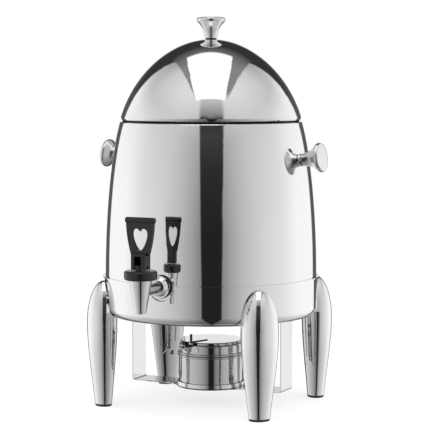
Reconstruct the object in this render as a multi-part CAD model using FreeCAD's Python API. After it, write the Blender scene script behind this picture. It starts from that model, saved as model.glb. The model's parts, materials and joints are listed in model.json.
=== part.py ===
import FreeCAD, Part
import math
import os
from FreeCAD import Matrix, Placement, Rotation, Vector

# Coffee urn on four swelling legs, with a lever tap in front and a fuel burner below.
# Millimetres. Z is up, the tap faces -Y, and the urn stands on Z = 0.
# Everything is drawn round the urn's own axis, and moved at the end so that the
# origin is the middle of the whole object's footprint.

# Shared fits
flat_gap = 0.3
fit_gap = 0.05
cut_margin = 2.0
pick_tolerance = 0.01

# Base ring: the dish-shaped band that carries the vessel
ring_bottom_height = 122.5
ring_height = 52.7
ring_wall = 1.2
ring_lip_reach = 2.0
ring_lip_height = 1.4
ring_corner_radius = 11.0
ring_flange_width = 53.4
notch_radius = 19.5

# Vessel: an egg-shaped pot with a turned-in rim
body_height = 260.0
body_foot_radius = 143.9
body_corner_radius = 38.0
body_straight_length = 49.3
body_shoulder_inset = 19.9
body_shoulder_round = 2.0
body_wall = 1.0
belly_reach = 82.0
lean_reach = 42.0
lean_slope = 0.28
mouth_rim_width = 7.5
mouth_lip_depth = 8.0

# Lid: a dome that drops over the mouth
lid_rim_inset = 1.5
lid_lip_height = 6.0
lid_lip_inset = 3.0
lid_lip_swell = 0.5
lid_dome_height = 105.2
lid_rim_reach = 55.0
lid_crown_reach = 58.5
lid_rim_slope = 0.3
lid_wall = 0.9
lid_skirt_gap = 0.5
lid_skirt_depth = 9.0

# Turned knobs, one on the lid and one on each side
knob_length = 28.6
knob_radius = 19.4
knob_foot_radius = 8.6
knob_foot_height = 0.8
knob_neck_radius = 10.6
knob_neck_reach = 15.5
knob_flare_reach = 6.5
knob_flare_inset = 5.5
knob_head_depth = 6.5
knob_rim_depth = 4.2
knob_edge_depth = 1.5
knob_edge_inset = 0.9
knob_face_reach = 9.0
knob_washer_radius = 7.6
knob_washer_thickness = 1.2
knob_screw_radius = 2.5
knob_screw_head_radius = 5.0
knob_screw_head_height = 2.8
knob_screw_bite = 12.0
handle_drop = 49.8
handle_pad_height = 1.9

# Legs: an outer and an inner half shell that meet on a seam
leg_azimuth = 51.5
leg_stand_off = 2.1
leg_foot_half_width = 14.5
leg_bulge_half_width = 25.9
leg_bulge_drop = 9.5
leg_tip_gap = 3.6
leg_foot_reach = 38.0
leg_foot_slope = 0.115
leg_bulge_reach = 35.0
leg_tip_reach = 31.0
leg_tip_spread = 14.3
leg_outer_depth_ratio = 0.9
leg_inner_depth_ratio = 0.68
leg_wall = 1.5
leg_seat_gap = 0.2
foot_cap_height = 3.2
foot_cap_inset = 0.4
foot_cap_round = 0.8
foot_plug_height = 8.0
upper_cover_screw_height = 92.0
lower_cover_screw_height = 47.0
cover_screw_radius = 1.8
cover_screw_head_radius = 3.2
cover_screw_head_height = 2.4
cover_screw_seat = 8.0
cover_screw_bite = 10.0
cover_boss_radius = 4.5
ring_screw_rise = 16.0
ring_screw_radius = 2.4
ring_screw_head_radius = 4.0
ring_screw_head_height = 2.5
ring_screw_bite = 14.0
ring_boss_radius = 6.0

# Burner bracket: a folded strip with a pressed tray in the middle
bracket_inset = 33.4
bracket_width = 37.0
bracket_thickness = 1.5
bracket_drop = 100.0
bracket_fold_radius = 3.0
bracket_tab_length = 17.0
tray_gap = 1.4
tray_rim_height = 5.5
tray_rim_wall = 1.2
tray_web_radius = 18.0
rivet_radius = 2.0
rivet_head_radius = 3.8
rivet_tail_radius = 3.0
rivet_head_height = 1.4
rivet_tail_height = 1.0
rivet_spacing = 20.0

# Burner: cup, collar with an ear, and swivelling snuffer cover
cup_radius = 44.3
cup_wall = 0.8
cup_corner_radius = 3.0
cup_height = 42.7
cup_bead_reach = 1.4
cup_bead_height = 3.2
collar_skirt_depth = 6.0
collar_joint_gap = 0.1
collar_wall_height = 12.0
collar_round = 2.4
collar_rim_radius = 36.0
collar_rim_height = 2.6
collar_hole_radius = 28.5
collar_rivet_radius = 1.3
collar_rivet_head_radius = 2.9
collar_rivet_head_height = 1.3
collar_rivet_rise = 5.7
ear_drop = 2.1
ear_thickness = 1.4
ear_root_height = 7.0
ear_half_width = 6.0
cover_radius = 42.3
cover_thickness = 1.1
cover_azimuth = -20.0
pivot_radius = 52.0
pivot_pin_radius = 1.8
pivot_head_radius = 3.4
pivot_head_height = 1.4
strap_half_width = 6.0
strap_thickness = 1.2
strap_start = 12.0
strap_step_reach = 4.0
finger_tab_radius = 36.5
finger_tab_height = 8.8
finger_tab_half_width = 1.7

# Tap: shank through the wall, upright chamber and tapered spout
tap_stand_off = 54.7
tap_rise = 50.3
shank_radius = 8.2
shank_bore_radius = 5.2
shank_inner_length = 17.0
flange_radius = 14.5
flange_thickness = 3.2
hub_radius = 12.6
hub_nose_radius = 9.2
hub_length = 5.2
wall_washer_radius = 15.2
wall_washer_thickness = 2.4
inner_gasket_radius = 14.5
inner_gasket_thickness = 2.4
lock_nut_across_flats = 24.0
lock_nut_thickness = 6.0
spout_drop = 28.4
spout_tip_radius = 6.85
spout_bore_radius = 4.4
chamber_rise = 14.2
chamber_radius = 14.75
chamber_bore_radius = 8.4
seat_drop = 12.4
seat_slope_height = 2.6
chamber_neck_radius = 12.6
chamber_neck_height = 8.0
bonnet_radius = 21.15
bonnet_height = 11.9
bonnet_round = 3.2
stem_radius = 2.4
plug_radius = 7.4
plug_height = 11.0
plug_grip_depth = 7.0
spring_wire_radius = 0.6
spring_coil_radius = 5.2
spring_turns = 6
spring_end_gap = 0.2

# Tap lever: heart-pierced paddle on a hollow neck
lever_pin_offset = 5.8
lever_pin_rise = 4.6
lever_pin_radius = 1.5
lever_pin_inset = 0.2
lever_swing = 25.0
neck_gap = 1.2
neck_height = 20.6
neck_half_width = 10.0
neck_half_depth = 8.2
neck_wall = 3.2
neck_edge_round = 1.2
neck_slot_half_width = 4.8
neck_roof = 3.5
paddle_thickness = 5.0
paddle_length = 39.0
paddle_root = 3.0
paddle_foot_half_width = 12.2
paddle_foot_flare = 3.4
paddle_foot_reach = 11.0
paddle_top_half_width = 19.5
paddle_top_flare = 0.2
paddle_top_reach = 15.0
roll_radius = 3.9
roll_length = 42.0
roll_overlap = 1.3
roll_round = 1.7
heart_half_width = 11.2
heart_tip_rise = 3.4
heart_notch_rise = 28.0
heart_lobe_lift = 4.8
heart_widest_drop = 3.5
heart_notch_spread = 1.7
heart_side_reach = 6.5
heart_tip_spread = 5.2
stem_pin_radius = 1.2
stem_pin_length = 17.0
stem_pin_slot_gap = 0.35
stem_head_rise = 2.0
lug_half_width = 2.8
lug_half_depth = 2.6
lug_trim = 0.5

# Heights and radii that follow from the driving sizes
body_bottom_height = ring_bottom_height + ring_wall
body_top_height = body_bottom_height + body_height
body_straight_height = body_bottom_height + body_straight_length
ring_top_height = ring_bottom_height + ring_height
ring_inner_radius = body_foot_radius + flat_gap
ring_outer_radius = ring_inner_radius + ring_wall
ring_lip_radius = ring_outer_radius + ring_lip_reach
ring_flange_radius = ring_outer_radius - ring_flange_width
body_shoulder_radius = body_foot_radius - body_shoulder_inset
mouth_radius = body_shoulder_radius - mouth_rim_width
lid_rim_radius = body_shoulder_radius - lid_rim_inset
lid_rim_height = body_top_height + lid_lip_height
lid_top_height = lid_rim_height + lid_dome_height
handle_height = body_top_height - handle_drop
leg_seam_radius = ring_outer_radius + leg_stand_off
leg_bulge_height = ring_bottom_height - leg_bulge_drop
leg_tip_height = ring_top_height - ring_lip_height - leg_tip_gap
ring_screw_height = ring_bottom_height + ring_screw_rise
bracket_half_span = ring_outer_radius - bracket_inset
bracket_bottom_height = ring_bottom_height - bracket_drop
tray_floor_height = bracket_bottom_height + bracket_thickness
tray_rim_radius = cup_radius + tray_gap + tray_rim_wall
cup_bottom_height = tray_floor_height + flat_gap
cup_top_height = cup_bottom_height + cup_height
cup_bead_radius = cup_radius + cup_bead_reach
collar_base_height = cup_top_height + collar_joint_gap
collar_bead_top = collar_base_height + cup_bead_height
collar_radius = cup_radius - cup_wall - flat_gap
collar_shoulder_height = collar_bead_top + collar_wall_height
collar_rim_top = collar_shoulder_height + collar_rim_height
ear_top = collar_shoulder_height - ear_drop
cover_low = collar_rim_top + flat_gap
cover_top = cover_low + cover_thickness
strap_low = ear_top + flat_gap
tap_reach = body_foot_radius + tap_stand_off
tap_height = body_bottom_height + tap_rise
washer_face = body_foot_radius + wall_washer_thickness
flange_face = washer_face + flange_thickness
gasket_face = body_foot_radius - body_wall - inner_gasket_thickness
shank_end = gasket_face + inner_gasket_thickness - shank_inner_length
chamber_top_height = tap_height + chamber_rise
chamber_neck_top = chamber_top_height + chamber_neck_height
seat_height = tap_height - seat_drop
bonnet_bottom_height = chamber_top_height + flat_gap
bonnet_top_height = bonnet_bottom_height + bonnet_height
bonnet_cavity_top = chamber_neck_top + flat_gap
lever_pin_height = bonnet_top_height + lever_pin_rise
neck_bottom_height = bonnet_top_height + neck_gap
neck_top_height = neck_bottom_height + neck_height
paddle_top_height = neck_top_height + paddle_length
axis_shift = (tap_reach + bonnet_radius - ring_lip_radius) / 2.0

Z = Vector(0, 0, 1)
AXIS = Vector(0, 0, 0)
LEG_NAMES = ("front_left", "front_right", "rear_right", "rear_left")
LEG_AZIMUTHS = (-leg_azimuth, leg_azimuth, 180.0 - leg_azimuth, 180.0 + leg_azimuth)
HANDLE_AZIMUTHS = (("right", 90.0), ("left", -90.0))
nodes = {}


def at(r, z):
    """Point of a turned profile: distance from the axis, and height."""
    return Vector(r, 0, z)


def line(a, b):
    return Part.LineSegment(a, b).toShape()


def arc(a, b, c):
    return Part.Arc(a, b, c).toShape()


def bezier(*poles):
    curve = Part.BezierCurve()
    curve.setPoles(list(poles))
    return curve.toShape()


def quarter(start, end, centre):
    """Quarter round from start to end about centre."""
    half = (start + end) * 0.5 - centre
    half.normalize()
    return arc(start, centre + half * start.distanceToPoint(centre), end)


def path(*points):
    """Straight edges through the points."""
    return [line(a, b) for a, b in zip(points, points[1:])]


def filled(edges):
    """Face inside a closed loop of edges given in any order."""
    return Part.Face(Part.Wire(Part.__sortEdges__(edges)))


def turned(edges):
    """Solid turned about Z from a closed profile in the XZ plane."""
    return filled(edges).revolve(AXIS, Z, 360.0)


def rod(radius, start, end):
    """Round bar from one point to another."""
    run = end - start
    return Part.makeCylinder(radius, run.Length, start, run)


def block(x0, x1, y0, y1, z0, z1):
    return Part.makeBox(x1 - x0, y1 - y0, z1 - z0, Vector(x0, y0, z0))


def joined(first, *others):
    """One clean solid from overlapping ones."""
    return first.fuse(list(others)).removeSplitter()


def rounded(solid, radius, wanted):
    """Solid with a fillet on each edge whose middle passes the test."""
    return solid.makeFillet(radius, [e for e in solid.Edges if wanted(e.CenterOfMass)])


def near(a, b):
    return abs(a - b) < pick_tolerance


def outward(azimuth, radius, height=0.0):
    """Point at a radius from the urn's axis, azimuth measured from -Y towards +X."""
    a = math.radians(azimuth)
    return Vector(radius * math.sin(a), -radius * math.cos(a), height)


def spun(shape, azimuth):
    """Copy turned from the +X direction to an azimuth."""
    copy = shape.copy()
    copy.rotate(AXIS, Z, azimuth - 90.0)
    return copy


def keep(name, *solids):
    """Move a finished piece into the object's frame and keep it under its name."""
    placed = []
    for solid in solids:
        copy = solid.copy()
        copy.translate(Vector(0, axis_shift, 0))
        placed.append(copy)
    nodes[name] = placed[0] if len(placed) == 1 else Part.makeCompound(placed)


# Vessel
def vessel_flank(inset):
    """The vessel's curved side, moved inwards by inset."""
    foot = body_foot_radius - inset
    shoulder = body_shoulder_radius - inset
    shoulder_z = body_top_height - body_shoulder_round
    return bezier(at(foot, body_straight_height),
                  at(foot, body_straight_height + belly_reach),
                  at(shoulder + lean_slope * lean_reach, shoulder_z - lean_reach),
                  at(shoulder, shoulder_z))


def vessel_skin(inset):
    """The vessel's outline from its bottom to its shoulder, moved inwards by inset."""
    foot = body_foot_radius - inset
    corner = body_corner_radius - inset
    bottom = body_bottom_height + inset
    turn = at(foot - corner, bottom + corner)
    edges = path(at(0, bottom), at(turn.x, bottom))
    edges.append(quarter(at(turn.x, bottom), at(foot, turn.z), turn))
    edges += path(at(foot, turn.z), at(foot, body_straight_height))
    edges.append(vessel_flank(inset))
    return edges, at(body_shoulder_radius - inset, body_top_height - body_shoulder_round)


def vessel_filled(inset=0.0):
    """The vessel's outline as a full solid, for cutting neighbours to its wall."""
    edges, shoulder = vessel_skin(inset)
    edges += path(shoulder, at(0, shoulder.z), at(0, body_bottom_height + inset))
    return turned(edges)


def handle_seat(azimuth):
    """Point on the vessel's wall at the handle's height, and the wall's outward normal."""
    flank = vessel_flank(0.0)
    level = Part.makeLine(at(0, handle_height), at(body_foot_radius * 2.0, handle_height))
    spot = flank.distToShape(level)[1][0][0]
    slope = flank.Curve.tangent(flank.Curve.parameter(spot))[0]
    tilt = math.atan2(-slope.x, slope.z)
    direction = outward(azimuth, math.cos(tilt), math.sin(tilt))
    return outward(azimuth, spot.x, handle_height), direction


def handle_pad(azimuth):
    """Raised round seat on the vessel's wall for a side knob."""
    start, direction = handle_seat(azimuth)
    return rod(knob_foot_radius, start - direction * (body_wall / 2.0),
               start + direction * handle_pad_height)


def make_urn_body():
    outer, shoulder = vessel_skin(0.0)
    inner, inner_shoulder = vessel_skin(body_wall)
    rim = at(body_shoulder_radius - body_shoulder_round, body_top_height)
    under = body_top_height - body_wall
    lip_foot = body_top_height - mouth_lip_depth
    outer.append(quarter(shoulder, rim, at(rim.x, shoulder.z)))
    lip = path(rim,
               at(mouth_radius, body_top_height),
               at(mouth_radius, lip_foot),
               at(mouth_radius + body_wall, lip_foot),
               at(mouth_radius + body_wall, under),
               at(rim.x, under),
               inner_shoulder)
    floor = path(at(0, body_bottom_height), at(0, body_bottom_height + body_wall))
    pot = turned(outer + lip + inner + floor)
    pot = pot.cut(shank_rod(shank_radius + fit_gap, 0, tap_reach))
    for side, azimuth in HANDLE_AZIMUTHS:
        start, direction = handle_seat(azimuth)
        reach = direction * knob_washer_radius
        pot = joined(pot, handle_pad(azimuth))
        pot = pot.cut(rod(knob_screw_radius + fit_gap, start - reach, start + reach))
    return pot


# Base ring
def ring_skin(gap):
    """The ring's outline grown by gap, from its top edge down to the flange's edge."""
    top = ring_top_height + gap
    lip = ring_lip_radius + gap
    lip_foot = ring_top_height - ring_lip_height - gap
    wall = ring_outer_radius + gap
    bottom = ring_bottom_height - gap
    turn = at(ring_outer_radius - ring_corner_radius, ring_bottom_height + ring_corner_radius)
    edges = path(at(ring_inner_radius, top),
                 at(lip, top),
                 at(lip, lip_foot),
                 at(wall, lip_foot),
                 at(wall, turn.z))
    edges.append(quarter(at(wall, turn.z), at(turn.x, bottom), turn))
    edges += path(at(turn.x, bottom), at(ring_flange_radius, bottom))
    return edges


def ring_filled(gap):
    """The ring's outline as a full solid, for cutting the legs to it."""
    bottom = ring_bottom_height - gap
    top = ring_top_height + gap
    closing = path(at(ring_flange_radius, bottom), at(0, bottom), at(0, top),
                   at(ring_inner_radius, top))
    return turned(ring_skin(gap) + closing)


def make_base_ring():
    turn = at(ring_outer_radius - ring_corner_radius, ring_bottom_height + ring_corner_radius)
    inner = path(at(ring_inner_radius, ring_top_height), at(ring_inner_radius, turn.z))
    inner.append(quarter(at(ring_inner_radius, turn.z), at(turn.x, body_bottom_height), turn))
    inner += path(at(turn.x, body_bottom_height),
                  at(ring_flange_radius, body_bottom_height),
                  at(ring_flange_radius, ring_bottom_height))
    ring = turned(ring_skin(0.0) + inner)
    ring = ring.cut(shank_rod(notch_radius, body_foot_radius / 2.0, tap_reach))
    for azimuth in LEG_AZIMUTHS:
        ring = ring.cut(rod(ring_screw_radius + fit_gap,
                            outward(azimuth, body_foot_radius / 2.0, ring_screw_height),
                            outward(azimuth, tap_reach, ring_screw_height)))
    for x, y in rivet_places():
        ring = ring.cut(rod(rivet_radius + fit_gap, Vector(x, y, bracket_bottom_height),
                            Vector(x, y, body_top_height)))
    return ring


# Lid
def lid_skin(inset):
    """The dome's outline moved inwards by inset, with its rim and crown."""
    rim = at(lid_rim_radius - inset, lid_rim_height)
    crown = at(0, lid_top_height - inset)
    dome = bezier(rim,
                  at(rim.x - lid_rim_slope * lid_rim_reach, rim.z + lid_rim_reach),
                  at(lid_crown_reach, crown.z),
                  crown)
    return rim, crown, dome


def lid_filled():
    """The dome as a full solid, for seating the knob's washer on it."""
    rim, crown, dome = lid_skin(0.0)
    return turned([dome] + path(crown, at(0, rim.z), rim))


def make_lid_dome():
    rim, crown, outer = lid_skin(0.0)
    inner_rim, inner_crown, inner = lid_skin(lid_wall)
    skirt = mouth_radius - lid_skirt_gap
    lip_end = at(rim.x - lid_lip_inset, body_top_height)
    lip_mid = (rim + lip_end) * 0.5 + at(lid_lip_swell, 0)
    skirt_foot = body_top_height - lid_skirt_depth
    web = body_top_height + lid_wall
    edges = [outer, arc(rim, lip_mid, lip_end), inner, line(crown, inner_crown)]
    edges += path(lip_end,
                  at(skirt, body_top_height),
                  at(skirt, skirt_foot),
                  at(skirt - lid_wall, skirt_foot),
                  at(skirt - lid_wall, web),
                  at(lip_end.x - lid_wall, web),
                  inner_rim)
    hole = rod(knob_screw_radius + fit_gap, at(0, lid_rim_height),
               at(0, lid_top_height + cut_margin))
    return turned(edges).cut(hole)


# Knobs, drawn along Z from the point where they stand on the metal
def screw_bore(solid):
    """Solid with the knob screw's hole, which is blind in the knob."""
    return solid.cut(rod(knob_screw_radius + fit_gap, at(0, -knob_length),
                         at(0, knob_washer_thickness + knob_screw_bite + fit_gap)))


def make_knob():
    """Turned knob with a waisted neck and a round-edged, slightly domed head."""
    base = knob_washer_thickness
    face = base + knob_length
    foot_top = base + knob_foot_height
    head = at(knob_radius - knob_edge_inset, face - knob_head_depth)
    rim = at(knob_radius, face - knob_rim_depth)
    edge = at(knob_radius - knob_edge_inset, face - knob_edge_depth)
    edges = path(at(0, base), at(knob_foot_radius, base), at(knob_foot_radius, foot_top))
    edges.append(bezier(at(knob_foot_radius, foot_top),
                        at(knob_neck_radius, base + knob_neck_reach),
                        at(head.x - knob_flare_inset, head.z - knob_flare_reach),
                        head))
    edges.append(arc(head, rim, edge))
    edges.append(bezier(edge, at(edge.x, face), at(edge.x - knob_face_reach, face), at(0, face)))
    edges += path(at(0, face), at(0, base))
    return screw_bore(turned(edges))


def make_knob_washer():
    """Dark washer, drawn long enough below to be cut to the metal's curve."""
    return screw_bore(rod(knob_washer_radius, at(0, -knob_washer_radius),
                          at(0, knob_washer_thickness)))


def make_knob_screw(wall, bend_radius):
    """Pan-head screw from inside, its head clear of the curved inner face."""
    sag = knob_screw_head_radius ** 2 / (2.0 * bend_radius)
    seat = -(wall + sag + fit_gap)
    low = seat - knob_screw_head_height
    reach = knob_washer_thickness + knob_screw_bite
    corner = at(knob_screw_head_radius, seat)
    edges = path(at(0, low), at(0, reach), at(knob_screw_radius, reach),
                 at(knob_screw_radius, seat), corner)
    edges.append(bezier(corner, at(corner.x, low), at(corner.x / 2.0, low), at(0, low)))
    return turned(edges)


def knob_set(start, direction, wall, bend_radius, metal):
    """Knob, washer and screw at a point on the metal, along a direction."""
    placement = Placement(start, Rotation(Z, direction))
    pieces = [make_knob(), make_knob_washer(), make_knob_screw(wall, bend_radius)]
    for piece in pieces:
        piece.Placement = placement.multiply(piece.Placement)
    pieces[1] = pieces[1].cut(metal)
    return pieces


# Legs, drawn upright with the seam in the YZ plane and the outside towards +X
def leg_outline(inset):
    """Half of the leg's front view, moved inwards by inset, in the XZ plane."""
    foot = at(leg_foot_half_width - inset, foot_cap_height)
    bulge = at(leg_bulge_half_width - inset, leg_bulge_height)
    tip = at(0, leg_tip_height - inset)
    lower = bezier(foot,
                   at(foot.x + leg_foot_slope * leg_foot_reach, foot.z + leg_foot_reach),
                   at(bulge.x, bulge.z - leg_bulge_reach),
                   bulge)
    upper = bezier(bulge, at(bulge.x, bulge.z + leg_tip_reach), at(leg_tip_spread, tip.z), tip)
    return [lower, upper] + path(tip, at(0, foot.z), foot)


def half_turned(edges, depth_ratio):
    """Half turn on the side of +X, flattened to depth_ratio of its radius."""
    face = filled(edges)
    face.rotate(AXIS, Z, -90.0)
    half = face.revolve(AXIS, Z, 180.0)
    squeeze = Matrix()
    squeeze.A11 = depth_ratio
    return half.transformGeometry(squeeze)


def leg_half(inset, depth_ratio):
    return half_turned(leg_outline(inset), depth_ratio)


def leg_back(inset, floor):
    """The leg's front view above floor, run inwards behind the seam."""
    depth = ring_corner_radius * 2.0
    face = filled(leg_outline(inset))
    face.rotate(AXIS, Z, 90.0)
    side = face.extrude(Vector(-depth, 0, 0))
    both = joined(side, side.mirror(AXIS, Vector(0, 1, 0)))
    wide = leg_bulge_half_width
    return both.common(block(-depth, depth, -wide, wide, floor, leg_tip_height))


def screw_bar(radius, x0, x1, z):
    return rod(radius, Vector(x0, 0, z), Vector(x1, 0, z))


def cover_screw_heights():
    return (lower_cover_screw_height, upper_cover_screw_height)


def make_leg_outer():
    """Outer half shell: it rises over the ring and is cut to the ring's wall."""
    depth = ring_corner_radius * 2.0
    wide = leg_bulge_half_width
    skin = leg_half(0.0, leg_outer_depth_ratio)
    full = joined(skin, leg_back(0.0, ring_bottom_height))
    hollow = leg_half(leg_wall, leg_outer_depth_ratio)
    hollow = joined(hollow, leg_back(leg_wall, ring_bottom_height + leg_wall))
    shell = full.cut(hollow)
    for z in cover_screw_heights():
        shell = shell.fuse(screw_bar(cover_boss_radius, 0, wide, z).common(full))
    boss = screw_bar(ring_boss_radius, -depth, wide, ring_screw_height)
    shell = shell.fuse(boss.common(full))
    for z in cover_screw_heights():
        shell = shell.cut(screw_bar(cover_screw_radius + fit_gap, -leg_wall,
                                    cover_screw_bite + fit_gap, z))
    shell = shell.cut(screw_bar(ring_screw_radius + fit_gap, -depth,
                                ring_screw_bite + fit_gap, ring_screw_height))
    shell.translate(Vector(leg_seam_radius, 0, 0))
    return shell.removeSplitter().cut(ring_filled(leg_seat_gap))


def make_leg_inner():
    """Inner half shell, closed under the ring, with seats for the cover screws."""
    wide = leg_bulge_half_width
    top = ring_bottom_height - leg_seat_gap
    full = leg_half(0.0, leg_inner_depth_ratio)
    full = full.common(block(-wide, wide, -wide, wide, 0, top))
    hollow = leg_half(leg_wall, leg_inner_depth_ratio)
    shell = full.cut(hollow.common(block(-wide, wide, -wide, wide, 0, top - leg_wall)))
    for z in cover_screw_heights():
        shell = shell.fuse(screw_bar(cover_boss_radius, 0, wide, z).common(full))
    for z in cover_screw_heights():
        shell = shell.cut(screw_bar(cover_screw_radius + fit_gap, -leg_wall, wide, z))
        shell = shell.cut(screw_bar(cover_screw_head_radius + fit_gap, cover_screw_seat, wide, z))
    shell = shell.removeSplitter()
    shell.rotate(AXIS, Z, 180.0)
    shell.translate(Vector(leg_seam_radius, 0, 0))
    return shell


def make_foot_cap():
    """Rubber cap under both halves, with a plug that fits inside them."""
    rim = leg_foot_half_width - foot_cap_inset
    plug = leg_foot_half_width - leg_wall - flat_gap
    plug_top = foot_cap_height + foot_plug_height
    turn = at(rim - foot_cap_round, foot_cap_round)
    edges = [quarter(at(turn.x, 0), at(rim, turn.z), turn)]
    edges += path(at(rim, turn.z),
                  at(rim, foot_cap_height),
                  at(plug, foot_cap_height),
                  at(plug, plug_top),
                  at(0, plug_top),
                  at(0, -cut_margin),
                  at(turn.x, -cut_margin),
                  at(turn.x, 0))
    outer = half_turned(edges, leg_outer_depth_ratio)
    inner = half_turned(edges, leg_inner_depth_ratio)
    inner.rotate(AXIS, Z, 180.0)
    cap = joined(outer, inner).cut(block(-rim, rim, -rim, rim, -cut_margin * 2.0, 0))
    cap.translate(Vector(leg_seam_radius, 0, 0))
    return cap


def make_leg_screws():
    """Cover screws of one leg, and the screw that holds the leg to the ring."""
    covers = []
    for z in cover_screw_heights():
        shank = screw_bar(cover_screw_radius, -cover_screw_seat, cover_screw_bite, z)
        head = screw_bar(cover_screw_head_radius, -cover_screw_seat - cover_screw_head_height,
                         -cover_screw_seat, z)
        covers.append(joined(shank, head))
    sag = ring_screw_head_radius ** 2 / (2.0 * ring_inner_radius)
    seat = ring_inner_radius - leg_seam_radius - sag - fit_gap
    shank = screw_bar(ring_screw_radius, seat, ring_screw_bite, ring_screw_height)
    head = screw_bar(ring_screw_head_radius, seat - ring_screw_head_height, seat,
                     ring_screw_height)
    holder = joined(shank, head)
    for screw in covers + [holder]:
        screw.translate(Vector(leg_seam_radius, 0, 0))
    return covers, holder


# Burner bracket
def rivet_places():
    """Centres of the rivets that hold the bracket's tabs to the ring's flange."""
    x = bracket_half_span + bracket_tab_length / 2.0
    y = rivet_spacing / 2.0
    return [(sx * x, sy * y) for sx in (-1, 1) for sy in (-1, 1)]


def make_strip():
    """The strip folded up at both ends of the burner's width."""
    half = bracket_width / 2.0
    span = bracket_half_span + bracket_thickness
    outer_fold = bracket_fold_radius + bracket_thickness / 2.0
    inner_fold = bracket_fold_radius - bracket_thickness / 2.0
    outer = block(-span, span, -half, half, bracket_bottom_height, ring_bottom_height)
    outer = rounded(outer, outer_fold,
                    lambda p: near(p.z, bracket_bottom_height) and near(abs(p.x), span))
    inside = block(-bracket_half_span, bracket_half_span, -bracket_width, bracket_width,
                   tray_floor_height, ring_bottom_height + cut_margin)
    inside = rounded(inside, inner_fold,
                     lambda p: near(p.z, tray_floor_height) and near(abs(p.x), bracket_half_span))
    return outer.cut(inside)


def make_web(side):
    """Concave flare between the strip and the round tray, on one side."""
    half = bracket_width / 2.0
    swell = tray_rim_radius + tray_web_radius
    touch_y = half + tray_web_radius
    touch_x = side * math.sqrt(swell ** 2 - touch_y ** 2)
    share = tray_rim_radius / swell
    x0, x1 = sorted((touch_x, touch_x * share))
    web = block(x0, x1, -touch_y * share, touch_y * share, bracket_bottom_height,
                tray_floor_height)
    for end in (-1, 1):
        web = web.cut(rod(tray_web_radius, Vector(touch_x, end * touch_y, 0),
                          Vector(touch_x, end * touch_y, ring_bottom_height)))
    return web


def make_bracket():
    half = bracket_width / 2.0
    rim_top = tray_floor_height + tray_rim_height
    floor = rod(tray_rim_radius, at(0, bracket_bottom_height), at(0, tray_floor_height))
    rim = rod(tray_rim_radius, at(0, bracket_bottom_height), at(0, rim_top))
    rim = rim.cut(rod(tray_rim_radius - tray_rim_wall, at(0, 0), at(0, ring_bottom_height)))
    pieces = [floor, rim]
    for side in (-1, 1):
        x0, x1 = sorted((side * bracket_half_span,
                         side * (bracket_half_span + bracket_tab_length)))
        pieces.append(make_web(side))
        pieces.append(block(x0, x1, -half, half, ring_bottom_height - bracket_thickness,
                            ring_bottom_height))
    bracket = joined(make_strip(), *pieces)
    for x, y in rivet_places():
        bracket = bracket.cut(rod(rivet_radius + fit_gap, Vector(x, y, tray_floor_height * 2.0),
                                  Vector(x, y, body_top_height)))
    return bracket


def make_rivets():
    rivets = []
    for x, y in rivet_places():
        low = Vector(x, y, ring_bottom_height - bracket_thickness)
        high = Vector(x, y, body_bottom_height)
        rivets.append(joined(rod(rivet_radius, low, high),
                             rod(rivet_head_radius, low - Z * rivet_head_height, low),
                             rod(rivet_tail_radius, high, high + Z * rivet_tail_height)))
    return rivets


# Burner
def make_fuel_cup():
    """Cup with a bead round its mouth."""
    r = cup_radius
    inner = cup_radius - cup_wall
    bottom = cup_bottom_height
    floor = bottom + cup_wall
    bead_low = cup_top_height - cup_bead_height
    turn = at(r - cup_corner_radius, bottom + cup_corner_radius)
    edges = [quarter(at(turn.x, bottom), at(r, turn.z), turn),
             quarter(at(turn.x, floor), at(inner, turn.z), turn),
             arc(at(r, bead_low), at(cup_bead_radius, (bead_low + cup_top_height) / 2.0),
                 at(r, cup_top_height))]
    edges += path(at(r, turn.z), at(r, bead_low))
    edges += path(at(r, cup_top_height), at(inner, cup_top_height), at(inner, turn.z))
    edges += path(at(turn.x, floor), at(0, floor), at(0, bottom), at(turn.x, bottom))
    return turned(edges)


def make_cup_collar():
    """Collar with its skirt inside the cup, a rim round the flame hole and a pivot ear."""
    r = collar_radius
    inner = r - cup_wall
    low = cup_top_height - collar_skirt_depth
    top = collar_shoulder_height
    ceiling = top - cup_wall
    turn = at(r - collar_round, top - collar_round)
    bead = arc(at(cup_radius, collar_base_height),
               at(cup_bead_radius, (collar_base_height + collar_bead_top) / 2.0),
               at(cup_radius, collar_bead_top))
    edges = [bead,
             quarter(at(r, turn.z), at(turn.x, top), turn),
             quarter(at(inner, turn.z), at(turn.x, ceiling), turn)]
    edges += path(at(inner, turn.z), at(inner, low), at(r, low), at(r, collar_base_height),
                  at(cup_radius, collar_base_height))
    edges += path(at(cup_radius, collar_bead_top), at(r, collar_bead_top), at(r, turn.z))
    edges += path(at(turn.x, top),
                  at(collar_rim_radius, top),
                  at(collar_rim_radius, collar_rim_top),
                  at(collar_hole_radius, collar_rim_top),
                  at(collar_hole_radius, ceiling),
                  at(turn.x, ceiling))
    shelf_low = ear_top - ear_thickness
    shelf = block(inner, pivot_radius, -ear_half_width, ear_half_width, shelf_low, ear_top)
    tip = rod(ear_half_width, at(pivot_radius, shelf_low), at(pivot_radius, ear_top))
    plate = block(inner, collar_radius + ear_thickness / 2.0, -ear_half_width, ear_half_width,
                  ear_top - ear_root_height, ear_top)
    bore = rod(inner, at(0, 0), at(0, ear_top))
    ear = spun(joined(shelf, tip, plate).cut(bore), cover_azimuth)
    collar = joined(turned(edges), ear)
    pin = outward(cover_azimuth, pivot_radius)
    collar = collar.cut(rod(pivot_pin_radius + fit_gap, pin, pin + Z * cover_top))
    z = collar_bead_top + collar_rivet_rise
    return collar.cut(rod(collar_rivet_radius + fit_gap, outward(0, 0, z),
                          outward(0, cup_radius, z)))


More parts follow.
